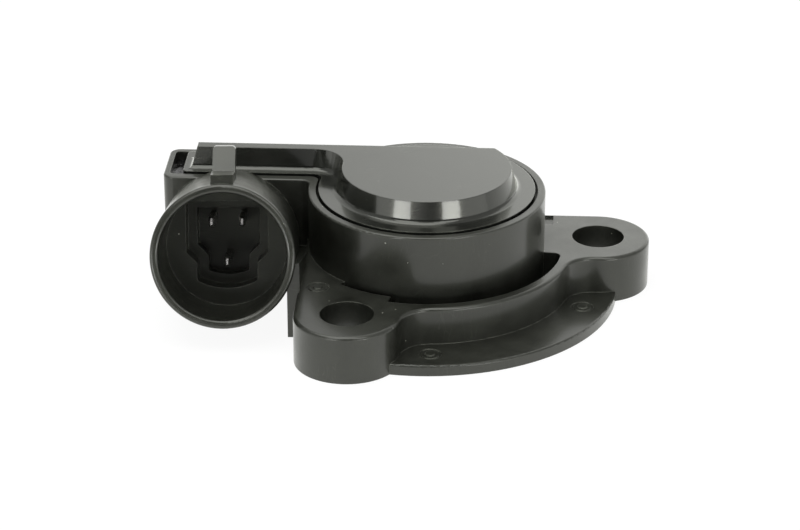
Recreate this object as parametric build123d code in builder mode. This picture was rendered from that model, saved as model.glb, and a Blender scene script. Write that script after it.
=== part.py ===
"""Rotary position sensor for an engine throttle shaft.

A moulded housing carries a cup, a mounting flange with two screw ears, a side arm and a
tilted plug socket.  A sprung rotor turns in the cup and drags a wiper along a resistor
element.  Three stamped terminals lead from the element, through the sealed arm, to the socket.

Frame: millimetres, +Z up, origin on the rotor axis in the plane of the mounting face.
"""
import os
from math import cos, hypot, radians, sin

from build123d import *

# Mounting flange and its two screw ears
hole_circle_radius = 25.4
left_hole_angle = -113.3
right_hole_angle = 9.15
hole_radius = 3.8
ear_radius = 7.5
ear_height = 7.1
disc_radius = 27.9
disc_thickness = 1.6
web_radius = 21.3
web_blend = 4.5
ear_edge_round = 0.5
disc_edge_round = 0.3

# Crescent pocket between the cup and the web, with a narrow tail past the left ear
pocket_radius = 19.8
pocket_start_angle = -103.5
pocket_end_angle = -6.0
pocket_end_round = 1.1
tail_gap = 0.95
tail_start_angle = -130.0

# Moulding marks left by the tool's pins
pin_mark_radius = 1.6
pin_mark_line = 0.3
pin_mark_depth = 0.12
pin_centre_radius = 0.7
pin_centre_rise = 0.15
disc_mark_radius = 24.3
left_disc_mark_angle = -86.3
right_disc_mark_angle = -20.0
ear_mark_back = 8.2
ear_mark_left = 4.7
recess_right = 18.5
recess_length = 3.2
recess_inset = 0.55
recess_depth = 0.35

# Cup
cup_radius = 17.2
rim_height = 16.0
rim_width = 1.1
rim_round = 0.25
cover_ledge = 1.2
element_ledge = 0.7
cup_floor = 4.5
cover_seat_depth = 1.6
element_seat_depth = 3.4

# Side arm with its trough
arm_front = 2.2
arm_back = 12.8
arm_end = -38.8
arm_wall = 1.3
arm_back_wall = 1.1
arm_end_wall = 0.9
arm_bottom = 1.0
arm_corner_round = 1.5
trough_corner_round = 0.6
arm_blend = 1.3
trough_depth = 6.0
dam_thickness = 3.4
core_roof = 2.0
core_width = 4.2
core_wall = 1.6

# Plug socket: its mouth, its tilt and its keyed opening
mouth_x = -27.7
mouth_y = -19.0
mouth_z = 13.3
socket_tilt = 17.8
socket_yaw = 3.67
shroud_radius = 10.2
shroud_length = 30.0
shroud_wall = 1.2
bore_draft = 1.0
lip_round = 0.45
ledge_depth = 13.0
key_top = 6.4
key_top_half = 5.9
key_shoulder_top = -1.0
key_shoulder_low = -2.5
key_low_half = 4.33
key_side_bottom = -5.1
key_bottom = -6.2
key_depth = 4.5
key_corner_round = 0.5
inner_step = 1.4
inner_depth = 3.0

# Lock nib on the top of the socket
nib_width = 3.2
nib_front = 0.9
nib_rail_height = 1.25
nib_ramp_start = 6.0
nib_ramp_end = 8.0
nib_back = 9.6
nib_height = 4.6
nib_corner_round = 0.5
nib_root = 1.2

# Rib that ties the socket to the left ear
rib_thickness = 1.8
rib_overlap = 0.4
rib_front = -17.0
rib_top = 11.6

# Cover
cover_gap = 0.4
cover_flange_rise = 0.25
plateau_height = 3.08
plateau_radius = 12.24
plateau_draft = 15.0
ridge_inset = 2.05
ridge_width = 1.65
ridge_end_inset = 2.0
resin_window = 1.9
foot_cove = 0.8
cover_roof = 1.5
cover_wall = 1.9
cover_boss_radius = 3.2
clamp_ring_width = 1.1
clamp_ring_gap = 0.4

# Rotor, its bearing and its drive socket
journal_radius = 7.5
running_clearance = 0.05
bearing_wall = 1.7
journal_recess = 0.3
flange_level = 8.8
flange_thickness = 1.6
flange_clearance = 1.8
hub_radius = 4.5
hub_height = 1.0
pin_radius = 1.5
pin_reach = 5.6
thrust_gap = 0.05
drive_radius = 4.0
drive_flats = 5.5
drive_depth = 6.5
lug_clearance = 0.5
lug_angle = 12.0
lug_rest_angle = -20.0
travel = 100.0
stop_angle = 10.0
stop_margin = 1.0
stop_height = 6.4
stop_width = 1.0

# Rotor seal
seal_level = 3.0
seal_section = 0.65
seal_squeeze = 0.02
seal_groove_side = 0.1

# Return spring
wire_radius = 0.45
coil_pitch = 1.05
half_turns = 6
coil_lift = 0.6
leg_reach = 2.4
leg_rise = 1.7
leg_clearance = 0.15
anchor_width = 3.6
anchor_height = 1.7
anchor_gap = 0.6

# Resistor element
element_thickness = 0.8
element_gap = 0.1
element_hole = 5.6
track_width = 1.8
track_height = 0.1
track_inset = 1.8
track_pitch = 2.8
track_spare_angle = 10.0
tail_reach = 3.6
tail_side_gap = 0.2

# Wiper
wiper_thickness = 0.3
wiper_tip_angle = 150.0
wiper_base_lag = 40.0
wiper_half_angle = 22.0
wiper_edge = 0.6
wiper_inner = 5.2
finger_width = 1.4
finger_run = 4.0
finger_tip = 0.9
finger_drop = 0.5
contact_gap = 0.06
stake_radius = 0.6
stake_height = 0.7
stake_clearance = 0.05
stake_inset = 2.6
first_stake_turn = -16.0
second_stake_turn = 2.0

# Terminals
blade_thickness = 0.8
blade_height = 1.4
tip_depth = 12.5
tip_chamfer = 0.25
upper_blade_side = 2.2
upper_blade_up = 3.5
lower_blade_up = -2.3
lane_pitch = 1.9
strip_lift = 0.4
post_inset = 1.7
post_height = 3.3
post_clearance = 0.08

# Sealant
bead_thickness = 0.3
bead_gap = 0.2

# How closely an edge or a face has to match the size by which it is picked
pick_tolerance = 0.01


def polar(radius, angle):
    """Point at a radius and an angle in the plan view."""
    return (radius * cos(radians(angle)), radius * sin(radians(angle)))


# Places that follow from the driving dimensions
left_hole = polar(hole_circle_radius, left_hole_angle)
right_hole = polar(hole_circle_radius, right_hole_angle)
flange_left = left_hole[0] - ear_radius
flange_back = right_hole[1] + ear_radius
flange_reach = disc_radius + ear_radius

rim_inner = cup_radius - rim_width
ledge_inner = rim_inner - cover_ledge
cavity_radius = ledge_inner - element_ledge
cover_seat = rim_height - cover_seat_depth
element_seat = rim_height - element_seat_depth
element_top = element_seat + element_thickness

trough_front = arm_front + arm_wall
trough_back = arm_back - arm_back_wall
trough_end = arm_end + arm_end_wall
trough_floor = rim_height - trough_depth
fill_front = trough_front + cover_ledge
fill_back = trough_back - cover_ledge
fill_middle = (fill_front + fill_back) / 2
dam_face = -(cavity_radius + dam_thickness)

tilt = radians(socket_tilt)
yaw = radians(socket_yaw)
outward = Vector(sin(yaw) * cos(tilt), -cos(yaw) * cos(tilt), sin(tilt))
sideways = Vector(cos(yaw), sin(yaw), 0)
backward = Vector(-sin(yaw), cos(yaw), 0)
mouth = Vector(mouth_x, mouth_y, mouth_z)
socket_plane = Plane(origin=mouth, x_dir=sideways, z_dir=outward)
nib_plane = Plane(origin=mouth, x_dir=outward * -1, z_dir=sideways)

bore_radius = shroud_radius - shroud_wall

bearing_radius = journal_radius + running_clearance
bearing_outer = bearing_radius + bearing_wall
bearing_top = flange_level - thrust_gap
flange_top = flange_level + flange_thickness
flange_radius = cavity_radius - flange_clearance
lug_radius = cavity_radius - lug_clearance
hub_top = flange_top + hub_height
track_face = element_seat - track_height
outer_track = flange_radius - track_inset
inner_track = outer_track - track_pitch
stake_circle = flange_radius - stake_inset
coil_radius = (bearing_outer + flange_radius) / 2
coil_base = cup_floor + coil_lift
coil_sag = hypot(coil_radius, coil_pitch / 4)
coil_end = Vector(0, -coil_sag, coil_base + (half_turns - 0.5) * coil_pitch / 2)
first_stop = lug_rest_angle - lug_angle / 2 - stop_margin - stop_angle / 2
last_stop = lug_rest_angle + travel + lug_angle / 2 + stop_margin + stop_angle / 2

strip_bottom = trough_floor + strip_lift
post_x = dam_face - post_inset
rib_left = flange_left + rib_overlap - rib_thickness
brim_radius = rim_inner - cover_gap
brim_front = trough_front + cover_gap
cover_end = trough_end + resin_window
cover_flange_top = rim_height + cover_flange_rise
cover_height = cover_flange_top + plateau_height
ridge_front = brim_front + ridge_inset
ridge_back = ridge_front + ridge_width
ridge_end = cover_end + ridge_end_inset
ridge_blend = arm_blend + brim_radius - plateau_radius
cover_ceiling = cover_height - cover_roof
pin_top = hub_top + pin_reach


def sector(radius, start, end):
    """Pie-shaped face from the axis, wider than any ring it trims."""
    middle = (start + end) / 2
    reach = radius * 3
    with BuildSketch(mode=Mode.PRIVATE) as pie:
        with BuildLine():
            Polyline((0, 0), polar(reach, start), polar(reach, middle), polar(reach, end), close=True)
        make_face()
    return pie.sketch


def ring_sector(outer, inner, start, end):
    """Part of a flat ring between two angles, less than half a turn apart."""
    with BuildSketch(mode=Mode.PRIVATE) as ring:
        Circle(outer)
        Circle(inner, mode=Mode.SUBTRACT)
        add(sector(outer, start, end), mode=Mode.INTERSECT)
    return ring.sketch


def cup_and_arm(radius, front, back, end, corner):
    """Plan of the cup with its side arm, blended where the arm leaves the cup."""
    with BuildSketch(mode=Mode.PRIVATE) as plan:
        Circle(radius)
        with Locations((end / 2, (front + back) / 2)):
            Rectangle(-end, back - front)
        points = plan.vertices().sort_by(Axis.X)
        fillet(points[2:4], radius=arm_blend)
        fillet(plan.vertices().sort_by(Axis.X)[:2], radius=corner)
    return plan.sketch


def terminal(side, up, lane):
    """Stamped terminal: socket blade, upright leg, strip along the trough and a post."""
    lead_plane = Plane(origin=mouth + sideways * side, x_dir=backward, z_dir=sideways)
    leg_back = (lane - mouth_y - side * sin(yaw)) / cos(yaw)
    leg_depth = (leg_back - up * sin(tilt)) / cos(tilt)
    tip = (up * sin(tilt) + tip_depth * cos(tilt), up * cos(tilt) - tip_depth * sin(tilt))
    corner = (leg_back, up * cos(tilt) - leg_depth * sin(tilt))
    leg_top = strip_bottom + blade_thickness - mouth_z
    leg_x = (mouth + sideways * side + backward * leg_back).X
    blade_length = leg_depth - tip_depth
    blade_middle = ((tip[0] + corner[0]) / 2, (tip[1] + corner[1]) / 2)
    with BuildPart() as lead:
        with BuildSketch(lead_plane):
            with Locations(Location((blade_middle[0], blade_middle[1], 0), (0, 0, -socket_tilt))):
                Rectangle(blade_length, blade_height)
            with Locations((leg_back, (leg_top + corner[1]) / 2)):
                Rectangle(blade_height, leg_top - corner[1])
            with Locations(corner):
                Circle(blade_height / 2)
        extrude(amount=blade_thickness / 2, both=True)
        tip_face = lead.faces().sort_by(Axis.Y)[0]
        chamfer(tip_face.edges(), length=tip_chamfer)
        with BuildSketch(Plane.XY.offset(strip_bottom)):
            with Locations(((leg_x + post_x) / 2, lane)):
                Rectangle(post_x - leg_x + blade_thickness, blade_height)
        extrude(amount=blade_thickness)
        with BuildSketch(Plane.XY.offset(strip_bottom)):
            with Locations((post_x, lane)):
                Rectangle(blade_thickness, blade_height)
        extrude(amount=post_height)
    return lead.part


# Terminals: the lower blade takes the front lane, the upper blades the two behind it
signal_lead = terminal(0, lower_blade_up, fill_middle - lane_pitch)
ground_lead = terminal(upper_blade_side, upper_blade_up, fill_middle)
supply_lead = terminal(-upper_blade_side, upper_blade_up, fill_middle + lane_pitch)

# Lock nib: a low rail that ramps up to a catch
with BuildPart() as nib:
    with BuildSketch(nib_plane):
        with BuildLine():
            Polyline(
                (nib_front, shroud_radius - nib_root),
                (nib_front, shroud_radius + nib_rail_height),
                (nib_ramp_start, shroud_radius + nib_rail_height),
                (nib_ramp_end, shroud_radius + nib_height),
                (nib_back, shroud_radius + nib_height),
                (nib_back, shroud_radius - nib_root),
                close=True,
            )
        make_face()
    extrude(amount=nib_width / 2, both=True)
    fillet(nib.edges().filter_by(Axis(mouth, outward)).sort_by(Axis.Z)[-2:], radius=nib_corner_round)

# Socket shroud, ended inside the trough's front wall and at the mounting plane
with BuildPart() as shroud:
    with BuildSketch(socket_plane):
        Circle(shroud_radius)
    extrude(amount=-shroud_length)
    fillet(shroud.edges().sort_by(Axis.Y)[0], radius=lip_round)
    split(bisect_by=Plane.XZ.offset(-trough_front), keep=Keep.TOP)
    split(bisect_by=Plane.XY, keep=Keep.TOP)
    add(nib.part)

# Keyed opening in the socket's ledge, wide above its shoulders and narrow below
with BuildSketch() as key_outline:
    with BuildLine():
        Polyline(
            (-key_low_half, key_side_bottom),
            (-key_low_half, key_shoulder_low),
            (-key_top_half, key_shoulder_top),
            (-key_top_half, key_top),
            (key_top_half, key_top),
            (key_top_half, key_shoulder_top),
            (key_low_half, key_shoulder_low),
            (key_low_half, key_side_bottom),
        )
        ThreePointArc((key_low_half, key_side_bottom), (0, key_bottom), (-key_low_half, key_side_bottom))
    make_face()

# Flange block: the two ears, joined by the web round the front of the cup
with BuildPart() as flange_block:
    with BuildSketch() as flange_plan:
        Circle(web_radius)
        with Locations(left_hole, right_hole):
            Circle(ear_radius)
        with Locations((left_hole[0] - ear_radius / 2, left_hole[1] / 2)):
            Rectangle(ear_radius, -left_hole[1])
        with Locations((right_hole[0] / 2, right_hole[1] + ear_radius / 2)):
            Rectangle(right_hole[0], ear_radius)
        with Locations((flange_left + flange_reach, flange_back - flange_reach)):
            Rectangle(2 * flange_reach, 2 * flange_reach, mode=Mode.INTERSECT)
        on_web = flange_plan.vertices().filter_by(
            lambda corner: abs(Vector(corner).length - web_radius) < pick_tolerance
        )
        fillet(on_web.sort_by(Axis.X)[-2:], radius=web_blend)
    extrude(amount=ear_height)
    fillet(flange_block.faces().sort_by(Axis.Z)[-1].outer_wire().edges(), radius=ear_edge_round)
    with BuildSketch(Plane.XY.offset(ear_height)) as pocket_plan:
        add(ring_sector(pocket_radius, cup_radius, pocket_start_angle, pocket_end_angle))
        fillet(pocket_plan.vertices().sort_by(Axis.X)[-1], radius=pocket_end_round)
        add(ring_sector(cup_radius + tail_gap, cup_radius, tail_start_angle, pocket_start_angle))
    extrude(amount=disc_thickness - ear_height, mode=Mode.SUBTRACT)
    with BuildSketch(Plane.XY.offset(ear_height)):
        with Locations((recess_right, flange_back - recess_inset)):
            Rectangle(recess_right, recess_length, align=(Align.MAX, Align.MAX))
    extrude(amount=-recess_depth, mode=Mode.SUBTRACT)

# Cup with its side arm
with BuildPart() as cup_block:
    with BuildSketch(Plane.XY.offset(arm_bottom)):
        add(cup_and_arm(cup_radius, arm_front, arm_back, arm_end, arm_corner_round))
    extrude(amount=rim_height - arm_bottom)
    fillet(cup_block.faces().sort_by(Axis.Z)[-1].outer_wire().edges(), radius=rim_round)
    with BuildSketch():
        Circle(cup_radius)
    extrude(amount=arm_bottom)

with BuildPart() as housing:
    # Thin disc between the ears
    with BuildSketch():
        Circle(disc_radius)
        add(sector(disc_radius, left_hole_angle, right_hole_angle), mode=Mode.INTERSECT)
    extrude(amount=disc_thickness)
    fillet(housing.edges().filter_by(GeomType.CIRCLE).sort_by(Axis.Z)[-1], radius=disc_edge_round)
    add(flange_block.part)
    with Locations((*left_hole, ear_height), (*right_hole, ear_height)):
        Hole(radius=hole_radius, depth=ear_height)

    add(cup_block.part)

    # Socket, and the rib that ties it to the left ear
    add(shroud.part)
    with BuildSketch(Plane.YZ.offset(rib_left)):
        with BuildLine():
            Polyline(
                (rib_front, 0),
                (rib_front, rib_top),
                (arm_front, rib_top - (arm_front - rib_front) * sin(tilt) / cos(tilt)),
                (arm_front, 0),
                close=True,
            )
        make_face()
    extrude(amount=rib_thickness)
    with BuildSketch(socket_plane):
        Circle(bore_radius)
    extrude(amount=-ledge_depth, taper=bore_draft, mode=Mode.SUBTRACT)
    lip = housing.edges().filter_by(GeomType.CIRCLE).filter_by(
        lambda edge: abs(edge.radius - bore_radius) < pick_tolerance
    )
    fillet(lip, radius=lip_round)
    with BuildSketch(socket_plane.offset(-ledge_depth)) as key_plan:
        add(key_outline.sketch)
        fillet(key_plan.vertices(), radius=key_corner_round)
    extrude(amount=-key_depth, mode=Mode.SUBTRACT)
    with BuildSketch(socket_plane.offset(-ledge_depth - key_depth)):
        offset(key_outline.sketch, amount=-inner_step)
    extrude(amount=-inner_depth, mode=Mode.SUBTRACT)

    # Seats for the cover and the element, the rotor's chamber and the trough
    with BuildSketch(Plane.XY.offset(cover_seat)):
        add(cup_and_arm(rim_inner, trough_front, trough_back, trough_end, trough_corner_round))
    extrude(amount=cover_height - cover_seat, mode=Mode.SUBTRACT)
    with BuildSketch(Plane.XY.offset(element_seat)):
        Circle(ledge_inner)
        with Locations((trough_end / 2, fill_middle)):
            Rectangle(-trough_end, fill_back - fill_front)
    extrude(amount=cover_seat - element_seat, mode=Mode.SUBTRACT)
    with BuildSketch(Plane.XY.offset(cup_floor)):
        Circle(cavity_radius)
    extrude(amount=element_seat - cup_floor, mode=Mode.SUBTRACT)
    with BuildSketch(Plane.XY.offset(trough_floor)):
        with Locations(((trough_end + dam_face) / 2, fill_middle)):
            Rectangle(dam_face - trough_end, fill_back - fill_front)
    extrude(amount=element_seat - trough_floor, mode=Mode.SUBTRACT)

    # Cores in the arm's underside, either side of the terminals
    with BuildSketch(Plane.XY.offset(arm_bottom)):
        core_x = (arm_end + core_wall + core_width / 2, dam_face - core_width / 2)
        with Locations(*[(x, (arm_front + arm_back) / 2) for x in core_x]):
            Rectangle(core_width, arm_back - arm_front - 2 * core_wall)
    extrude(amount=trough_floor - core_roof - arm_bottom, mode=Mode.SUBTRACT)

    # Bearing sleeve, end stops and the spring's anchor
    with BuildSketch(Plane.XY.offset(cup_floor)):
        Circle(bearing_outer)
    extrude(amount=bearing_top - cup_floor)
    with BuildSketch():
        Circle(bearing_radius)
    extrude(amount=bearing_top, mode=Mode.SUBTRACT)
    with BuildSketch(Plane.XY.offset(cup_floor)):
        for stop in (first_stop, last_stop):
            stop_start = stop - stop_angle / 2
            add(ring_sector(ledge_inner, cavity_radius - stop_width, stop_start, stop_start + stop_angle))
    extrude(amount=stop_height)
    with BuildSketch(Plane.XY.offset(cup_floor)):
        anchor_start = coil_radius + wire_radius + anchor_gap
        with Locations(((anchor_start + ledge_inner) / 2, 0)):
            Rectangle(ledge_inner - anchor_start, anchor_width)
    extrude(amount=anchor_height)
    with BuildSketch(Plane.XY.offset(coil_base - wire_radius - leg_clearance)):
        with Locations(((anchor_start + cavity_radius) / 2, 0)):
            Rectangle(cavity_radius - anchor_start, 2 * (wire_radius + leg_clearance))
    extrude(amount=anchor_height, mode=Mode.SUBTRACT)

    # The terminals are moulded in
    for lead in (signal_lead, ground_lead, supply_lead):
        add(lead, mode=Mode.SUBTRACT)

    # Marks of the moulding tool
    with BuildSketch(Plane.XY.offset(disc_thickness)):
        left_mark = polar(disc_mark_radius, left_disc_mark_angle)
        right_mark = polar(disc_mark_radius, right_disc_mark_angle)
        with Locations(left_mark, right_mark):
            Circle(pin_mark_radius)
            Circle(pin_mark_radius - pin_mark_line, mode=Mode.SUBTRACT)
    extrude(amount=-pin_mark_depth, mode=Mode.SUBTRACT)
    with BuildSketch(Plane.XY.offset(disc_thickness)):
        with Locations(left_mark, right_mark):
            Circle(pin_centre_radius)
    extrude(amount=pin_centre_rise)
    with BuildSketch(Plane.XY.offset(ear_height)):
        ear_mark = (left_hole[0] - ear_mark_left, left_hole[1] + ear_mark_back)
        with Locations(ear_mark):
            Circle(pin_mark_radius)
            Circle(pin_mark_radius - pin_mark_line, mode=Mode.SUBTRACT)
    extrude(amount=-pin_mark_depth, mode=Mode.SUBTRACT)
    with BuildSketch(Plane.XY.offset(ear_height)):
        with Locations(ear_mark):
            Circle(pin_centre_radius)
    extrude(amount=pin_centre_rise)

with BuildPart() as cover:
    with BuildSketch(Plane.XY.offset(cover_seat)):
        add(
            cup_and_arm(
                brim_radius,
                brim_front,
                trough_back - cover_gap,
                cover_end,
                trough_corner_round,
            )
        )
    extrude(amount=cover_flange_top - cover_seat)
    with BuildSketch(Plane.XY.offset(cover_height)) as plateau_plan:
        Circle(plateau_radius)
        with Locations((ridge_end / 2, (ridge_front + ridge_back) / 2)):
            Rectangle(-ridge_end, ridge_back - ridge_front)
        with Locations((0, ridge_back + plateau_radius)):
            Rectangle(-2 * ridge_end, 2 * plateau_radius, mode=Mode.SUBTRACT)
        ridge_corners = plateau_plan.vertices().filter_by_position(
            Axis.Y, ridge_front - pick_tolerance, ridge_front + pick_tolerance
        )
        fillet(ridge_corners.sort_by(Axis.X)[-1], radius=ridge_blend)
    extrude(amount=cover_flange_top - cover_height, taper=-plateau_draft)
    brim = cover.faces().filter_by_position(
        Axis.Z, cover_flange_top - pick_tolerance, cover_flange_top + pick_tolerance
    )[0]
    fillet(brim.inner_wires()[0].edges(), radius=foot_cove)

    # Hollow under the plateau, with the boss for the rotor's pin
    with BuildSketch(Plane.XY.offset(cover_seat)):
        Circle(plateau_radius - cover_wall)
        with Locations((0, ridge_back - cover_wall + plateau_radius)):
            Rectangle(2 * plateau_radius, 2 * plateau_radius, mode=Mode.SUBTRACT)
    extrude(amount=cover_ceiling - cover_seat, mode=Mode.SUBTRACT)
    with BuildSketch(Plane.XY.offset(hub_top + 2 * thrust_gap)):
        Circle(cover_boss_radius)
    extrude(amount=cover_ceiling - hub_top - 2 * thrust_gap)
    with BuildSketch(Plane.XY.offset(hub_top)):
        Circle(pin_radius + running_clearance)
    extrude(amount=pin_reach + 2 * thrust_gap, mode=Mode.SUBTRACT)

    # Ring that holds the element down
    with BuildSketch(Plane.XY.offset(element_top)):
        Circle(ledge_inner - clamp_ring_gap)
        Circle(ledge_inner - clamp_ring_gap - clamp_ring_width, mode=Mode.SUBTRACT)
    extrude(amount=cover_seat - element_top)

with BuildPart() as element:
    with BuildSketch(Plane.XY.offset(element_seat)):
        Circle(ledge_inner - element_gap)
        with Locations(((dam_face - tail_reach) / 2, fill_middle)):
            Rectangle(tail_reach - dam_face, fill_back - fill_front - 2 * tail_side_gap)
        Circle(element_hole, mode=Mode.SUBTRACT)
        slot_width = blade_thickness + 2 * post_clearance
        slot_length = blade_height + 2 * post_clearance
        with Locations(*[(post_x, fill_middle + lane * lane_pitch) for lane in (-1, 0, 1)]):
            Rectangle(slot_width, slot_length, mode=Mode.SUBTRACT)
    extrude(amount=element_thickness)
    with BuildSketch(Plane.XY.offset(element_seat)):
        track_start = wiper_tip_angle - track_spare_angle
        track_end = wiper_tip_angle + travel + track_spare_angle
        for track in (inner_track, outer_track):
            add(ring_sector(track + track_width / 2, track - track_width / 2, track_start, track_end))
    extrude(amount=-track_height)

with BuildPart() as rotor:
    with BuildSketch(Plane.XZ):
        with BuildLine():
            Polyline(
                (0, journal_recess),
                (journal_radius, journal_recess),
                (journal_radius, flange_level),
                (flange_radius, flange_level),
                (flange_radius, flange_top),
                (hub_radius, flange_top),
                (hub_radius, hub_top),
                (pin_radius, hub_top),
                (pin_radius, pin_top),
                (0, pin_top),
                close=True,
            )
        make_face()
    revolve(axis=Axis.Z)
    with BuildSketch(Plane.XY.offset(seal_level - seal_section - seal_groove_side)):
        Circle(journal_radius)
        Circle(journal_radius - 2 * seal_section, mode=Mode.SUBTRACT)
    extrude(amount=2 * (seal_section + seal_groove_side), mode=Mode.SUBTRACT)
    with BuildSketch(Plane.XY.offset(journal_recess)):
        Circle(drive_radius)
        Rectangle(2 * drive_radius, drive_flats, mode=Mode.INTERSECT)
    extrude(amount=drive_depth, mode=Mode.SUBTRACT)
    with BuildSketch(Plane.XY.offset(flange_level)):
        lug_start = lug_rest_angle - lug_angle / 2
        add(ring_sector(lug_radius, hub_radius, lug_start, lug_start + lug_angle))
    extrude(amount=flange_thickness)
    with BuildSketch(Plane.XY.offset(flange_level)):
        with Locations((coil_end.X, coil_end.Y)):
            Circle(wire_radius + leg_clearance)
    extrude(amount=flange_thickness, mode=Mode.SUBTRACT)
    with BuildSketch(Plane.XY.offset(flange_top)):
        for turn in (first_stake_turn, second_stake_turn):
            with Locations(polar(stake_circle, wiper_tip_angle - wiper_base_lag + turn)):
                Circle(stake_radius)
    extrude(amount=stake_height)

with BuildPart() as rotor_seal:
    with Locations((0, 0, seal_level)):
        Torus(journal_radius - seal_section - seal_squeeze / 2, seal_section - seal_squeeze / 2)

with BuildPart() as wiper:
    base_angle = wiper_tip_angle - wiper_base_lag
    with BuildSketch(Plane.XY.offset(flange_top)):
        base_start = base_angle - wiper_half_angle
        base_end = base_angle + wiper_half_angle
        add(ring_sector(flange_radius - wiper_edge, wiper_inner, base_start, base_end))
        for turn in (first_stake_turn, second_stake_turn):
            with Locations(polar(stake_circle, base_angle + turn)):
                Circle(stake_radius + stake_clearance, mode=Mode.SUBTRACT)
    extrude(amount=wiper_thickness)
    radial = Vector(*polar(1, wiper_tip_angle), 0)
    tangent = Vector(*polar(1, wiper_tip_angle + 90), 0)
    contact = track_face - contact_gap
    for track in (inner_track, outer_track):
        finger_plane = Plane(origin=radial * track, x_dir=tangent, z_dir=radial)
        with BuildSketch(finger_plane):
            with BuildLine():
                Polyline(
                    (-finger_run - wiper_thickness, flange_top),
                    (-finger_run + wiper_thickness, flange_top),
                    (0, contact - wiper_thickness),
                    (finger_tip, contact - wiper_thickness - finger_drop),
                    (finger_tip, contact - finger_drop),
                    (0, contact),
                    close=True,
                )
            make_face()
        extrude(amount=finger_width / 2, both=True)

with BuildPart() as return_spring:
    # The coil is a chain of half turns, each tilted by half the pitch, and a last quarter turn
    half_rise = coil_pitch / 2
    for half in range(half_turns):
        side = coil_radius * (-1) ** half
        middle = Vector(0, 0, coil_base + (half + 0.5) * half_rise)
        start = Vector(side, 0, coil_base + half * half_rise)
        turn_axis = Axis(middle, (start - middle).cross(Vector(0, side, 0)))
        with BuildSketch(Plane(origin=start, x_dir=start - middle, z_dir=(0, side, 0))):
            Circle(wire_radius)
        revolve(axis=turn_axis, revolution_arc=180 if half < half_turns - 1 else 90)
    coil_start = Vector(coil_radius, 0, coil_base)
    with BuildSketch(Plane(origin=coil_start, z_dir=(1, 0, 0))):
        Circle(wire_radius)
    extrude(amount=leg_reach)
    with BuildSketch(Plane(origin=coil_end, z_dir=(0, 0, 1))):
        Circle(wire_radius)
    extrude(amount=leg_rise)
    with Locations(coil_start, coil_end):
        Sphere(wire_radius)

with BuildPart() as sealant:
    with BuildSketch(Plane.XY.offset(trough_floor)):
        with Locations(((trough_end + dam_face) / 2, fill_middle)):
            Rectangle(dam_face - trough_end, fill_back - fill_front)
    extrude(amount=cover_seat - trough_floor)
    with BuildSketch(Plane.XY.offset(cover_seat)):
        add(cup_and_arm(rim_inner, trough_front, trough_back, trough_end, trough_corner_round))
        with Locations((cover_end - bead_gap, 0)):
            Rectangle(-trough_end, 2 * arm_back, align=(Align.MAX, Align.CENTER), mode=Mode.INTERSECT)
    extrude(amount=bead_thickness)
    for buried in (signal_lead, ground_lead, supply_lead, element.part):
        add(buried, mode=Mode.SUBTRACT)

pieces = {
    "housing": housing.part,
    "cover": cover.part,
    "rotor": rotor.part,
    "rotor_seal": rotor_seal.part,
    "return_spring": return_spring.part,
    "wiper": wiper.part,
    "resistor_element": element.part,
    "terminal_signal": signal_lead,
    "terminal_ground": ground_lead,
    "terminal_supply": supply_lead,
    "sealant": sealant.part,
}
os.makedirs("parts", exist_ok=True)
for name, piece in pieces.items():
    piece.label = name
    export_step(piece, "parts/" + name + ".step")
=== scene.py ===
"""Finish of the rotary position sensor, laid out as a Blender add-on.

Each operator finishes one piece or group of pieces of the sensor, or sets the stage for its picture.
Lengths are in metres, in the sensor's own frame: the origin is on the rotor's axis, in the mounting plane.
"""
from math import cos, pi, radians, sin, tan

import bmesh
import bpy
from mathutils import Matrix, Vector


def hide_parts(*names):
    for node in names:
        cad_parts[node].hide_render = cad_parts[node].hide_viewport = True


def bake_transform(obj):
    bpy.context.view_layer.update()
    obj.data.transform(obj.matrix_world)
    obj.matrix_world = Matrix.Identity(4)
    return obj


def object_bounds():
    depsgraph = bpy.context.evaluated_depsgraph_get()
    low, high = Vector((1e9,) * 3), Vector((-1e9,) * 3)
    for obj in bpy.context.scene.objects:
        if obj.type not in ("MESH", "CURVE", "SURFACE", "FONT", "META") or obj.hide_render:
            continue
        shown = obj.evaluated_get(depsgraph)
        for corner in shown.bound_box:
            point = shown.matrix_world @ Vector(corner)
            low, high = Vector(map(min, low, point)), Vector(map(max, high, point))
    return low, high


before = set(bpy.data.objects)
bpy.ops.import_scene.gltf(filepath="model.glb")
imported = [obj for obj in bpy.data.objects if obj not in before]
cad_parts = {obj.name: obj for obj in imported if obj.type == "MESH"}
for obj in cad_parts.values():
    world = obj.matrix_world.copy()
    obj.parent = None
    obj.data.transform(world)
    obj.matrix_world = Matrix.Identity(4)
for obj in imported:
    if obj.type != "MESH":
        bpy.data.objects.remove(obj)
cad_low, cad_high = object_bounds()

bl_info = {
    "name": "Rotary position sensor",
    "version": (1, 0, 0),
    "blender": (4, 5, 0),
    "location": "View3D > Sidebar > Sensor",
    "description": "Finishes the pieces of a rotary position sensor and sets the stage for its picture",
    "category": "Object",
}

MM = 0.001
WHITE = (1, 1, 1, 1)
WHITE_LEVEL = 1.05


# Properties that a user would change


def colour(name, description, default):
    """Colour property."""
    return bpy.props.FloatVectorProperty(
        name=name, description=description, subtype="COLOR", size=3, min=0, max=1, default=default
    )


def length(name, description, millimetres):
    """Length property, given in millimetres and kept in metres."""
    return bpy.props.FloatProperty(
        name=name, description=description, subtype="DISTANCE", unit="LENGTH", default=millimetres * MM
    )


def angle(name, description, degrees):
    """Angle property, given in degrees and kept in radians."""
    return bpy.props.FloatProperty(
        name=name, description=description, subtype="ANGLE", unit="ROTATION", default=radians(degrees)
    )


def share(name, description, default):
    """Property from nothing to all."""
    return bpy.props.FloatProperty(
        name=name, description=description, subtype="FACTOR", min=0, max=1, default=default
    )


def strength(name, description, default):
    """Light property: a brightness where 1 is white, or a power."""
    return bpy.props.FloatProperty(name=name, description=description, min=0, default=default)


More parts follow.
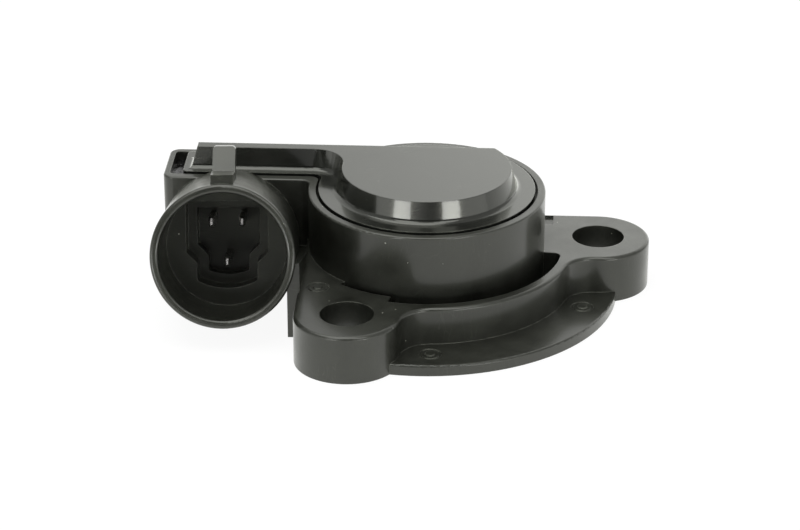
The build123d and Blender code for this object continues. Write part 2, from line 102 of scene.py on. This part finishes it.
class SensorColours(bpy.types.PropertyGroup):
    """Colours of the sensor's pieces."""

    housing: colour("Housing", "Black of the glass-filled housing", (0.0085, 0.009, 0.0075))
    cover: colour("Cover", "Black of the glossy cover", (0.0075, 0.008, 0.0075))
    sheen: colour("Sheen", "Tint of the light that the black plastic reflects", (0.98, 1.0, 0.9))
    # Edge band grey: partly scuffing, partly a painted highlight along the edges
    edge_wear_and_highlight_grey: colour("Rubbed edges", "Grey where edges are rubbed or dusty", (0.16, 0.165, 0.15))
    # This pale colour also paints glints on the sealing resin
    pale_specks: colour("Dust", "Pale specks that lie on the black plastic", (0.55, 0.55, 0.5))
    resin: colour("Resin", "Black of the cured sealing resin", (0.006, 0.006, 0.006))
    tin: colour("Tin", "Bright plating of the terminals", (0.78, 0.77, 0.74))
    rotor: colour("Rotor", "Natural plastic of the rotor", (0.62, 0.57, 0.46))
    rubber: colour("Rubber", "Black of the rotor's seal", (0.014, 0.014, 0.014))
    steel: colour("Steel", "Drawn wire of the return spring", (0.52, 0.52, 0.53))
    bronze: colour("Bronze", "Rolled strip of the wiper", (0.72, 0.48, 0.26))
    board: colour("Board", "Green-black base of the resistor element", (0.02, 0.045, 0.03))


class SensorFinish(bpy.types.PropertyGroup):
    """Texture and wear of the sensor's surfaces."""

    grain: length("Grain", "Size of the fine grain on the moulded plastic", 0.22)
    mottle: length("Mottle", "Size of the cloudy patches on the moulded plastic", 5.0)
    # The band is partly scuffing and partly a painted highlight along convex and concave edges
    edge_width: length("Edge width", "Width of the worn band along an edge", 0.22)
    speck_spacing: length("Speck spacing", "Distance between specks of dust", 1.6)
    housing_roughness: share("Housing roughness", "Roughness of the satin housing", 0.42)
    cover_roughness: share("Cover roughness", "Roughness of the glossy cover", 0.2)
    bend: bpy.props.FloatProperty(
        name="Index", description="Refractive index of the black plastic", min=1, default=1.46
    )
    skin: share("Moulded skin", "How much of the smooth moulded skin lies over the grain", 0.6)
    housing_skin: share("Housing skin roughness", "Roughness of the housing's moulded skin", 0.17)
    cover_skin: share("Cover skin roughness", "Roughness of the cover's moulded skin", 0.09)


class SensorSpring(bpy.types.PropertyGroup):
    """Wire and coil of the return spring."""

    wire: length("Wire radius", "Radius of the spring's wire", 0.45)
    coil: length("Coil radius", "Radius of the coil at the middle of its wire", 10.825)
    base: length("Coil base", "Height of the coil's first turn above the mounting plane", 5.1)
    pitch: length("Pitch", "Rise of the coil in one turn", 1.05)
    turns: bpy.props.FloatProperty(name="Turns", description="Turns of the coil", min=0.5, default=2.75)
    anchor_leg: length("Anchor leg", "Length of the straight leg in the housing's anchor", 2.4)
    rotor_leg: length("Rotor leg", "Length of the upright leg in the rotor's flange", 1.7)


class SensorStage(bpy.types.PropertyGroup):
    """Camera, lights and floor."""

    aim: bpy.props.FloatVectorProperty(
        name="Aim", description="Point that the camera looks at", subtype="TRANSLATION", unit="LENGTH",
        default=(-3.356 * MM, -9.995 * MM, 8.407 * MM),
    )
    distance: length("Distance", "Distance from the camera to its aim", 392.38)
    turn: angle("Turn", "Turn of the camera to the right of the front", 3.02)
    tilt: angle("Tilt", "Height of the camera above the horizon", 25.53)
    lens: bpy.props.FloatProperty(
        name="Lens", description="Focal length in millimetres on a 36 mm wide sensor", min=1, default=123.64
    )
    floor: colour("Floor", "Pale floor under the sensor", (0.93, 0.93, 0.92))
    floor_gleam: strength("Floor gleam", "Brightness of the floor where the pieces mirror it", 1.3)
    floor_shadow: share("Floor shadow", "How much of the sensor's shadow shows on the floor", 0.12)
    room: strength("Room light", "Even light of the room on the pieces", 0.55)
    gleam: strength("Room gleam", "Brightness of the room where the pieces mirror it", 0.6)
    key: strength("Key light", "Power of the soft overhead light in watts", 3.0)
    card: strength("Front cards", "Brightness of the two cards that gleam in the front of the cover", 10.5)
    high_card: strength("High front cards", "Brightness of the two cards above the front ones", 3.5)
    side_card: strength("Side cards", "Brightness of the two low cards beside the front ones", 1.7)
    dark_card: strength("Dark card", "Brightness of the low card between the front ones", 0.35)
    horizon: strength("Horizon card", "Brightness of the low card behind, for grazing views", 2.2)
    back: strength("Back card", "Brightness of the card that gleams in the top of the cover", 1.6)


# Shader nodes


def feed(tree, socket, value):
    """Links a socket to another, or sets its value."""
    if isinstance(value, bpy.types.NodeSocket):
        tree.links.new(value, socket)
    else:
        socket.default_value = value


def place(tree, kind, inputs=None, **settings):
    """Adds a node, with its settings and its inputs by name or number."""
    made = tree.nodes.new(kind)
    for name, value in settings.items():
        setattr(made, name, value)
    for name, value in (inputs or {}).items():
        feed(tree, made.inputs[name], value)
    return made


def maths(tree, operation, *values):
    """Result of a calculation on one to three values."""
    return place(tree, "ShaderNodeMath", dict(enumerate(values)), operation=operation).outputs[0]


def spread(tree, value, low, high, new_low=0.0, new_high=1.0):
    """Value moved from one range to another, held within its ends."""
    made = place(
        tree, "ShaderNodeMapRange",
        {"Value": value, "From Min": low, "From Max": high, "To Min": new_low, "To Max": new_high},
    )
    return made.outputs[0]


def blend_colours(tree, amount, first, second):
    """Mix of two colours."""
    made = place(tree, "ShaderNodeMix", {0: amount, 6: first, 7: second}, data_type="RGBA")
    return made.outputs[2]


def blend_shaders(tree, amount, first, second):
    """Mix of two shaders."""
    return place(tree, "ShaderNodeMixShader", {0: amount, 1: first, 2: second}).outputs[0]


def object_point(tree):
    """Place on the piece, in the sensor's frame."""
    return tree.nodes.new("ShaderNodeTexCoord").outputs["Object"]


def noise(tree, vector, scale, detail=2.0, rough=0.5):
    """Noise value at a point, from 0 to 1."""
    made = place(
        tree, "ShaderNodeTexNoise",
        {"Vector": vector, "Scale": scale, "Detail": detail, "Roughness": rough},
    )
    return made.outputs["Fac"]


def bump(tree, height, distance, normal=None, amount=1.0):
    """Normal of a surface that a height raises by up to a distance."""
    inputs = {"Strength": amount, "Distance": distance, "Height": height}
    if normal is not None:
        inputs["Normal"] = normal
    return place(tree, "ShaderNodeBump", inputs).outputs[0]


def rgba(values):
    """Colour as four numbers."""
    return (*values, 1.0)


def darker(values, amount):
    """Colour times a share, as four numbers."""
    return rgba(value * amount for value in values)


def empty_tree(owner):
    """Node tree of a new material or world, cleared."""
    owner.use_nodes = True
    owner.node_tree.nodes.clear()
    return owner.node_tree


def show(tree, surface, kind="ShaderNodeOutputMaterial"):
    """Leads a shader to the tree's output."""
    feed(tree, tree.nodes.new(kind).inputs["Surface"], surface)


# Effects that the finishes share


def node_group(name, inputs, outputs):
    """New shader node group with its sockets; returns its tree and its two end nodes."""
    tree = bpy.data.node_groups.new(name, "ShaderNodeTree")
    for socket_name, kind in inputs.items():
        tree.interface.new_socket(socket_name, in_out="INPUT", socket_type=kind)
    for socket_name, kind in outputs.items():
        tree.interface.new_socket(socket_name, in_out="OUTPUT", socket_type=kind)
    return tree, tree.nodes.new("NodeGroupInput"), tree.nodes.new("NodeGroupOutput")


def use_group(tree, name, inputs):
    """Places a node group in a material."""
    made = tree.nodes.new("ShaderNodeGroup")
    made.node_tree = bpy.data.node_groups[name]
    for socket_name, value in inputs.items():
        feed(tree, made.inputs[socket_name], value)
    return made.outputs


def build_grain_group():
    """Moulded grain: a fine height and a slow, cloudy mottle."""
    tree, start, end = node_group(
        "moulded_grain",
        {"Grain": "NodeSocketFloat", "Mottle": "NodeSocketFloat"},
        {"Height": "NodeSocketFloat", "Cloud": "NodeSocketFloat"},
    )
    point = object_point(tree)
    fine_scale = maths(tree, "DIVIDE", 1.0, start.outputs["Grain"])
    slow_scale = maths(tree, "DIVIDE", 1.0, start.outputs["Mottle"])
    fine = noise(tree, point, fine_scale, detail=3.0, rough=0.6)
    slow = noise(tree, point, slow_scale, detail=4.0, rough=0.62)
    feed(tree, end.inputs["Height"], fine)
    feed(tree, end.inputs["Cloud"], spread(tree, slow, low=0.32, high=0.68))


def build_edge_group():
    """Edges: a softened normal, and a mask of the broken, rubbed band along them."""
    tree, start, end = node_group(
        "edge_wear_and_highlight",
        {"Width": "NodeSocketFloat", "Break": "NodeSocketFloat"},
        {"Mask": "NodeSocketFloat", "Normal": "NodeSocketVector"},
    )
    soft = place(tree, "ShaderNodeBevel", {"Radius": start.outputs["Width"]}, samples=6).outputs["Normal"]
    flat = tree.nodes.new("ShaderNodeNewGeometry").outputs["Normal"]
    likeness = place(tree, "ShaderNodeVectorMath", {0: soft, 1: flat}, operation="DOT_PRODUCT")
    # The band follows convex and concave edges alike, so it is partly scuffing and partly a painted
    # highlight
    band = spread(tree, likeness.outputs["Value"], low=0.995, high=0.86)
    break_scale = maths(tree, "DIVIDE", 1.0, start.outputs["Break"])
    broken = noise(tree, object_point(tree), break_scale, detail=3.0, rough=0.6)
    patchy = spread(tree, broken, low=0.38, high=0.66)
    feed(tree, end.inputs["Mask"], maths(tree, "MULTIPLY", band, patchy))
    feed(tree, end.inputs["Normal"], soft)


def build_marks_group():
    """Handling marks: pale specks of dust, and fine crossing scratches."""
    tree, start, end = node_group(
        "handling_marks",
        {"Spacing": "NodeSocketFloat"},
        {"Specks": "NodeSocketFloat", "Scratches": "NodeSocketFloat"},
    )
    point = object_point(tree)

    # One cell in five holds a speck, of a size by chance
    empty_share = 0.8
    speck_scale = maths(tree, "DIVIDE", 1.0, start.outputs["Spacing"])
    cells = place(tree, "ShaderNodeTexVoronoi", {"Vector": point, "Scale": speck_scale})
    chance = place(tree, "ShaderNodeSeparateColor", {0: cells.outputs["Color"]})
    speck_size = spread(tree, chance.outputs[1], 0.0, 1.0, new_low=0.025, new_high=0.075)
    dot = maths(tree, "LESS_THAN", cells.outputs["Distance"], speck_size)
    filled = maths(tree, "GREATER_THAN", chance.outputs[0], empty_share)
    feed(tree, end.inputs["Specks"], maths(tree, "MULTIPLY", dot, filled))

    # A scratch is the thin line where a noise that is drawn out one way passes its middle value
    middle, half_width = 0.5, 0.012
    thinness, depth = 70, 3
    lines = []
    for turn, stretch in ((0.5, 60.0), (-0.9, 45.0), (1.7, 75.0)):
        drawn_out = (stretch, stretch * thinness, stretch * depth)
        strip = place(
            tree, "ShaderNodeMapping", {"Vector": point, "Rotation": (0.0, 0.0, turn), "Scale": drawn_out}
        )
        hair = noise(tree, strip.outputs[0], scale=1.0, detail=1.0, rough=0.4)
        offset = maths(tree, "ABSOLUTE", maths(tree, "SUBTRACT", hair, middle))
        lines.append(spread(tree, offset, low=half_width, high=0.0))
    crossed = maths(tree, "MAXIMUM", maths(tree, "MAXIMUM", lines[0], lines[1]), lines[2])
    patches = spread(tree, noise(tree, point, scale=260.0, detail=3.0), low=0.48, high=0.7)
    feed(tree, end.inputs["Scratches"], maths(tree, "MULTIPLY", crossed, patches))


# Finishes


def new_material(name):
    """Empty material with a Principled shader; returns the material, its tree and the shader's inputs."""
    material = bpy.data.materials.new(name)
    tree = empty_tree(material)
    shader = tree.nodes.new("ShaderNodeBsdfPrincipled")
    show(tree, shader.outputs[0])
    return material, tree, shader.inputs


def black_plastic(name, base, roughness, skin_roughness, wear_and_edge_highlight, pale_specks, grain_height):
    """Black moulded plastic with grain, cloudy gloss, rubbed edges, specks and scratches."""
    finish = bpy.context.scene.sensor_finish
    colours = bpy.context.scene.sensor_colours
    material, tree, inputs = new_material(name)
    grain = use_group(tree, "moulded_grain", {"Grain": finish.grain, "Mottle": finish.mottle})
    edge = use_group(tree, "edge_wear_and_highlight", {"Width": finish.edge_width, "Break": finish.mottle / 4})
    marks = use_group(tree, "handling_marks", {"Spacing": finish.speck_spacing})

    cloud_grey, scratch_grey = 0.06, 0.16
    cloudy = maths(tree, "MULTIPLY", grain["Cloud"], cloud_grey)
    # Edges lightened towards grey: partly scuffing, partly a painted highlight
    rubbed_and_lit = maths(tree, "MULTIPLY", edge["Mask"], wear_and_edge_highlight)
    scratched = maths(tree, "MULTIPLY", marks["Scratches"], wear_and_edge_highlight * scratch_grey)
    grey = maths(tree, "ADD", maths(tree, "ADD", cloudy, rubbed_and_lit), scratched)
    plain = blend_colours(tree, grey, rgba(base), rgba(colours.edge_wear_and_highlight_grey))
    dusty = maths(tree, "MULTIPLY", marks["Specks"], pale_specks)
    feed(tree, inputs["Base Color"], blend_colours(tree, dusty, plain, rgba(colours.pale_specks)))

    clear, clouded, scratch_matt = 0.82, 1.2, 0.1
    gloss = spread(tree, grain["Cloud"], 0.0, 1.0, roughness * clear, roughness * clouded)
    matted = maths(tree, "MULTIPLY", marks["Scratches"], scratch_matt)
    feed(tree, inputs["Roughness"], maths(tree, "ADD", gloss, matted))

    inputs["IOR"].default_value = finish.bend
    inputs["Specular Tint"].default_value = rgba(colours.sheen)
    inputs["Coat Weight"].default_value = finish.skin
    inputs["Coat Roughness"].default_value = skin_roughness
    inputs["Coat Tint"].default_value = rgba(colours.sheen)
    feed(tree, inputs["Normal"], bump(tree, grain["Height"], grain_height, edge["Normal"]))
    return material


def cured_resin():
    """Sealing resin: wet-looking black with a wavy skin and small bubbles."""
    colours = bpy.context.scene.sensor_colours
    material, tree, inputs = new_material("cured_resin")
    point = object_point(tree)
    waves = noise(tree, point, scale=700.0)
    # Pale specks mixed into the black are painted glints
    painted_glints = spread(tree, noise(tree, point, scale=2600.0), low=0.66, high=0.72, new_high=0.25)
    tone = blend_colours(tree, painted_glints, rgba(colours.resin), rgba(colours.pale_specks))
    feed(tree, inputs["Base Color"], tone)
    feed(tree, inputs["Roughness"], spread(tree, waves, low=0.3, high=0.7, new_low=0.05, new_high=0.16))
    feed(tree, inputs["Normal"], bump(tree, waves, 0.25 * MM))
    return material


def worked_metal(name, base, roughness, streak):
    """Metal with fine streaks along one direction of work, and a slow change of gloss."""
    material, tree, inputs = new_material(name)
    point = object_point(tree)
    run = place(tree, "ShaderNodeMapping", {"Vector": point, "Scale": streak})
    lines = noise(tree, run.outputs[0], scale=1.0, detail=3.0, rough=0.6)
    cloud = noise(tree, point, scale=400.0, detail=3.0)
    dullness = spread(tree, cloud, low=0.35, high=0.75)
    feed(tree, inputs["Base Color"], blend_colours(tree, dullness, rgba(base), darker(base, 0.72)))
    smooth, coarse = roughness * 0.7, roughness * 1.4
    feed(tree, inputs["Roughness"], spread(tree, lines, 0.3, 0.7, smooth, coarse))
    inputs["Metallic"].default_value = 1.0
    feed(tree, inputs["Normal"], bump(tree, lines, 0.02 * MM, amount=0.4))
    return material


def plain_moulding(name, base, shade, roughness):
    """Hidden moulding in one colour with soft clouds and fine grain."""
    finish = bpy.context.scene.sensor_finish
    material, tree, inputs = new_material(name)
    grain = use_group(tree, "moulded_grain", {"Grain": finish.grain, "Mottle": finish.mottle / 2})
    edge = use_group(tree, "edge_wear_and_highlight", {"Width": finish.edge_width, "Break": finish.mottle / 4})
    cloud = spread(tree, grain["Cloud"], 0.0, 1.0, new_high=0.6)
    feed(tree, inputs["Base Color"], blend_colours(tree, cloud, rgba(base), darker(base, shade)))
    gloss = spread(tree, grain["Cloud"], 0.0, 1.0, roughness * 0.85, roughness)
    feed(tree, inputs["Roughness"], gloss)
    feed(tree, inputs["Normal"], bump(tree, grain["Height"], 0.006 * MM, edge["Normal"]))
    return material


def dress(material, *nodes):
    """Gives CAD nodes their finish."""
    for name in nodes:
        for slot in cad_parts[name].material_slots:
            slot.material = material


# Meshes


def piece_from(shape, name, material):
    """Object of a finished bmesh, in place in the sensor's frame."""
    mesh = bpy.data.meshes.new(name)
    shape.to_mesh(mesh)
    shape.free()
    mesh.materials.append(material)
    mesh.shade_smooth()
    made = bpy.data.objects.new(name, mesh)
    bpy.context.scene.collection.objects.link(made)
    return made


def straight_wire(shape, start, direction, reach, radius, sides):
    """Adds a straight length of wire with closed ends."""
    turn = Vector(direction).to_track_quat("Z", "Y").to_matrix().to_4x4()
    middle = Matrix.Translation(Vector(start) + Vector(direction) * reach / 2)
    bmesh.ops.create_cone(
        shape, cap_ends=True, segments=sides, radius1=radius, radius2=radius, depth=reach,
        matrix=middle @ turn,
    )


def spring_shape(sizes):
    """Coil with its anchor leg and its upright leg."""
    sides = 14
    steps_per_turn = 72
    shape = bmesh.new()
    upright = Matrix.Rotation(pi / 2, 4, "X")
    start = Vector((sizes.coil, 0, sizes.base))
    bmesh.ops.create_circle(
        shape, cap_ends=True, segments=sides, radius=sizes.wire, matrix=Matrix.Translation(start) @ upright
    )
    steps = round(steps_per_turn * sizes.turns)
    sweep = 2 * pi * sizes.turns
    rise = sizes.pitch * sizes.turns
    bmesh.ops.spin(
        shape, geom=shape.faces[:], cent=(0, 0, 0), axis=(0, 0, 1), dvec=(0, 0, rise / steps),
        angle=sweep, steps=steps, use_merge=False,
    )
    bmesh.ops.recalc_face_normals(shape, faces=shape.faces)
    end = Vector((sizes.coil * cos(sweep), sizes.coil * sin(sweep), sizes.base + rise))
    straight_wire(shape, start, (1, 0, 0), sizes.anchor_leg, sizes.wire, sides)
    straight_wire(shape, end, (0, 0, 1), sizes.rotor_leg, sizes.wire, sides)
    for corner in (start, end):
        bmesh.ops.create_uvsphere(
            shape, u_segments=sides, v_segments=sides // 2, radius=sizes.wire,
            matrix=Matrix.Translation(corner),
        )
    return shape


def card_shape(middle, facing, width, tall):
    """Flat card at a place, facing a point."""
    toward = Vector(facing) - Vector(middle)
    turn = toward.to_track_quat("Z", "Y").to_matrix().to_4x4()
    size = Matrix.Diagonal((width / 2, tall / 2, 1, 1))
    shape = bmesh.new()
    bmesh.ops.create_grid(
        shape, x_segments=1, y_segments=1, size=1, matrix=Matrix.Translation(middle) @ turn @ size
    )
    return shape


# Stage


def set_room(scene, stage):
    """White room to look at, with a level of its own for gleams and one for its even light."""
    world = bpy.data.worlds.new("white_room")
    tree = empty_tree(world)
    even, gleam, white = (
        place(tree, "ShaderNodeBackground", {"Color": WHITE, "Strength": level}).outputs[0]
        for level in (stage.room, stage.gleam, WHITE_LEVEL)
    )
    path = tree.nodes.new("ShaderNodeLightPath").outputs
    light = blend_shaders(tree, path["Is Glossy Ray"], even, gleam)
    seen = maths(tree, "MAXIMUM", path["Is Camera Ray"], path["Is Transmission Ray"])
    show(tree, blend_shaders(tree, seen, light, white), "ShaderNodeOutputWorld")
    scene.world = world


def floor_material(stage):
    """Pale floor that shows only some of its shadow, and nothing from below."""
    material = bpy.data.materials.new("pale_floor")
    tree = empty_tree(material)
    matt = place(tree, "ShaderNodeBsdfDiffuse", {"Color": rgba(stage.floor)})
    path = tree.nodes.new("ShaderNodeLightPath").outputs
    level = spread(tree, path["Is Glossy Ray"], 0.0, 1.0, WHITE_LEVEL, stage.floor_gleam)
    white = place(tree, "ShaderNodeEmission", {"Color": WHITE, "Strength": level})
    mirrored = maths(tree, "MAXIMUM", path["Is Camera Ray"], path["Is Glossy Ray"])
    seen = maths(tree, "MAXIMUM", mirrored, path["Is Transmission Ray"])
    lift = maths(tree, "MULTIPLY", seen, 1.0 - stage.floor_shadow)
    pale = blend_shaders(tree, lift, matt.outputs[0], white.outputs[0])
    clear = tree.nodes.new("ShaderNodeBsdfTransparent")
    below = tree.nodes.new("ShaderNodeNewGeometry").outputs["Backfacing"]
    show(tree, blend_shaders(tree, below, pale, clear.outputs[0]))
    return material


def set_floor(stage):
    """Floor just under the mounting face."""
    gap = 0.05 * MM
    half_width = 3
    shape = bmesh.new()
    level = Matrix.Translation((0, 0, cad_low.z - gap))
    bmesh.ops.create_grid(shape, x_segments=1, y_segments=1, size=half_width, matrix=level)
    piece_from(shape, "floor", floor_material(stage))


def glow(name, brightness, left):
    """Material of a card; left is how many times its brightness it has at its left end."""
    fade_start, fade_end = -0.12, 0.06
    material = bpy.data.materials.new(name)
    tree = empty_tree(material)
    across = place(tree, "ShaderNodeSeparateXYZ", {0: object_point(tree)}).outputs["X"]
    level = spread(tree, across, fade_start, fade_end, brightness * left, brightness)
    light = place(tree, "ShaderNodeEmission", {"Color": WHITE, "Strength": level})
    show(tree, light.outputs[0])
    return material


def set_card(name, brightness, side, height, distance, width, tall, left=1.0):
    """Card at an angle to the side of the front and above the horizon, seen only in gleams."""
    facing = (0, 0, 10 * MM)
    across = distance * cos(height)
    middle = Vector((across * sin(side), -across * cos(side), distance * sin(height)))
    card = piece_from(card_shape(middle, facing, width, tall), name, glow(name, brightness, left))
    for ray in ("camera", "diffuse", "transmission", "volume_scatter", "shadow"):
        setattr(card, "visible_" + ray, False)


def set_overhead(scene, stage):
    """Soft light above, a little to the left."""
    overhead = bpy.data.lights.new("overhead", "AREA")
    overhead.shape = "RECTANGLE"
    overhead.size = 0.7
    overhead.size_y = 0.5
    overhead.energy = stage.key
    lamp = bpy.data.objects.new("overhead", overhead)
    lamp.location = (-0.12, -0.05, 0.7)
    lamp.rotation_mode = "QUATERNION"
    lamp.rotation_quaternion = lamp.location.to_track_quat("Z", "Y")
    lamp.visible_camera = False
    scene.collection.objects.link(lamp)


def set_cards(stage):
    """Cards that gleam in the plastic: bright ones in front with dark ones between, and two behind."""
    reach = 0.6
    front_width = reach * (tan(radians(36.5)) - tan(radians(19.5)))
    side_width = 2 * reach * tan(radians(20))
    low_height, low_tall = radians(3.5), 0.12
    high_height, high_tall = radians(50), 0.3
    for name, front, side in (("left", radians(-28), radians(-58)), ("right", radians(33), radians(63))):
        set_card(name + "_low_card", stage.card, front, low_height, reach, front_width, low_tall)
        set_card(name + "_high_card", stage.high_card, front, high_height, reach, front_width, high_tall)
        set_card(name + "_side_card", stage.side_card, side, low_height, reach, side_width, low_tall)

    # The dark ones keep the socket's inside dark, and the lower one grows brighter to the left
    ahead = 0.0
    dark_reach = reach * 1.1
    low_width = 2 * reach * tan(radians(17))
    high_width = 2 * dark_reach * tan(radians(40))
    set_card("low_dark_card", stage.dark_card, ahead, low_height, dark_reach, low_width, low_tall, left=2.8)
    set_card("high_dark_card", 0.0, ahead, radians(23), dark_reach, high_width, tall=0.32)

    back_reach = 0.8
    set_card("back_card", stage.back, pi, radians(32), back_reach, width=1.8, tall=0.7, left=0.6)
    set_card("horizon_card", stage.horizon, pi, radians(4), back_reach, width=1.0, tall=0.14)


def set_camera(scene, stage):
    """Camera at the sensor's viewing angle."""
    level = cos(stage.tilt)
    back = Vector((sin(stage.turn) * level, -cos(stage.turn) * level, sin(stage.tilt)))
    camera = bpy.data.cameras.new("camera")
    camera.sensor_width = 36.0
    camera.lens = stage.lens
    camera.clip_start = 0.01
    camera.clip_end = 20.0
    made = bpy.data.objects.new("camera", camera)
    made.location = Vector(stage.aim) + back * stage.distance
    made.rotation_mode = "QUATERNION"
    made.rotation_quaternion = back.to_track_quat("Z", "Y")
    scene.collection.objects.link(made)
    scene.camera = made


# Operators


class SENSOR_OT_effects(bpy.types.Operator):
    """Build the grain, edge and mark effects that the finishes share"""

    bl_idname = "sensor.effects"
    bl_label = "Shared effects"

    def execute(self, context):
        build_grain_group()
        build_edge_group()
        build_marks_group()
        return {"FINISHED"}


class SENSOR_OT_housing(bpy.types.Operator):
    """Give the housing its satin black, with rubbed edges and dust"""

    bl_idname = "sensor.housing"
    bl_label = "Housing"

    def execute(self, context):
        colours = context.scene.sensor_colours
        finish = context.scene.sensor_finish
        satin = black_plastic(
            "satin_housing", colours.housing, finish.housing_roughness, finish.housing_skin,
            wear_and_edge_highlight=0.7, pale_specks=0.8, grain_height=0.012 * MM,
        )
        dress(satin, "housing")
        return {"FINISHED"}


class SENSOR_OT_cover(bpy.types.Operator):
    """Give the cover its gloss black, with fine scratches"""

    bl_idname = "sensor.cover"
    bl_label = "Cover"

    def execute(self, context):
        colours = context.scene.sensor_colours
        finish = context.scene.sensor_finish
        gloss = black_plastic(
            "gloss_cover", colours.cover, finish.cover_roughness, finish.cover_skin,
            wear_and_edge_highlight=0.3, pale_specks=0.25, grain_height=0.002 * MM,
        )
        dress(gloss, "cover")
        return {"FINISHED"}


class SENSOR_OT_terminals(bpy.types.Operator):
    """Give the three terminals their tin plating, and the arm its sealing resin"""

    bl_idname = "sensor.terminals"
    bl_label = "Terminals and resin"

    def execute(self, context):
        colours = context.scene.sensor_colours
        tin = worked_metal("tin_plating", colours.tin, roughness=0.24, streak=(900.0, 12000.0, 12000.0))
        dress(tin, "terminal_signal", "terminal_ground", "terminal_supply")
        dress(cured_resin(), "sealant")
        return {"FINISHED"}


class SENSOR_OT_rotor(bpy.types.Operator):
    """Finish the rotor, its seal, the wiper and the resistor element"""

    bl_idname = "sensor.rotor"
    bl_label = "Rotor and pick-up"

    def execute(self, context):
        colours = context.scene.sensor_colours
        natural = plain_moulding("natural_rotor", colours.rotor, shade=0.8, roughness=0.48)
        rubber = plain_moulding("seal_rubber", colours.rubber, shade=0.6, roughness=0.6)
        board = plain_moulding("track_board", colours.board, shade=0.5, roughness=0.4)
        bronze = worked_metal(
            "wiper_bronze", colours.bronze, roughness=0.26, streak=(1500.0, 14000.0, 14000.0)
        )
        dress(natural, "rotor")
        dress(rubber, "rotor_seal")
        dress(board, "resistor_element")
        dress(bronze, "wiper")
        return {"FINISHED"}


class SENSOR_OT_spring(bpy.types.Operator):
    """Wind the return spring, held by the housing at one end and by the rotor at the other"""

    bl_idname = "sensor.spring"
    bl_label = "Return spring"

    def execute(self, context):
        sizes = context.scene.sensor_spring
        steel = context.scene.sensor_colours.steel
        wire = worked_metal("drawn_wire", steel, roughness=0.3, streak=(9000.0, 9000.0, 900.0))
        spring = piece_from(spring_shape(sizes), "return_spring_wire", wire)
        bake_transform(spring)
        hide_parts("return_spring")
        return {"FINISHED"}


class SENSOR_OT_stage(bpy.types.Operator):
    """Set the floor, the room, the lights and the camera"""

    bl_idname = "sensor.stage"
    bl_label = "Stage"

    def execute(self, context):
        scene = context.scene
        stage = scene.sensor_stage
        scene.view_settings.view_transform = "Standard"
        set_room(scene, stage)
        set_floor(stage)
        set_overhead(scene, stage)
        set_cards(stage)
        set_camera(scene, stage)
        return {"FINISHED"}


# Panel and registration


class SENSOR_PT_panel(bpy.types.Panel):
    """Lists the sensor's operators and its properties"""

    bl_idname = "SENSOR_PT_panel"
    bl_label = "Position sensor"
    bl_space_type = "VIEW_3D"
    bl_region_type = "UI"
    bl_category = "Sensor"

    def draw(self, context):
        for operator in OPERATORS:
            self.layout.operator(operator.bl_idname)
        for group, group_name in PROPERTY_GROUPS.items():
            column = self.layout.column(heading=group.__doc__)
            settings = getattr(context.scene, group_name)
            for name in group.__annotations__:
                column.prop(settings, name)


PROPERTY_GROUPS = {
    SensorColours: "sensor_colours",
    SensorFinish: "sensor_finish",
    SensorSpring: "sensor_spring",
    SensorStage: "sensor_stage",
}
OPERATORS = (
    SENSOR_OT_effects,
    SENSOR_OT_housing,
    SENSOR_OT_cover,
    SENSOR_OT_terminals,
    SENSOR_OT_rotor,
    SENSOR_OT_spring,
    SENSOR_OT_stage,
)


def register():
    """Registers the classes and hangs the properties on the scene."""
    for group, name in PROPERTY_GROUPS.items():
        bpy.utils.register_class(group)
        setattr(bpy.types.Scene, name, bpy.props.PointerProperty(type=group))
    for made in (*OPERATORS, SENSOR_PT_panel):
        bpy.utils.register_class(made)


def unregister():
    """Takes away what register added."""
    for made in (SENSOR_PT_panel, *reversed(OPERATORS)):
        bpy.utils.unregister_class(made)
    for group, name in PROPERTY_GROUPS.items():
        delattr(bpy.types.Scene, name)
        bpy.utils.unregister_class(group)


def main():
    """Registers the add-on, runs its operators in order and writes the two boxes."""
    register()
    for operator in OPERATORS:
        group, name = operator.bl_idname.split(".")
        getattr(getattr(bpy.ops, group), name)()


if __name__ == "__main__":
    main()
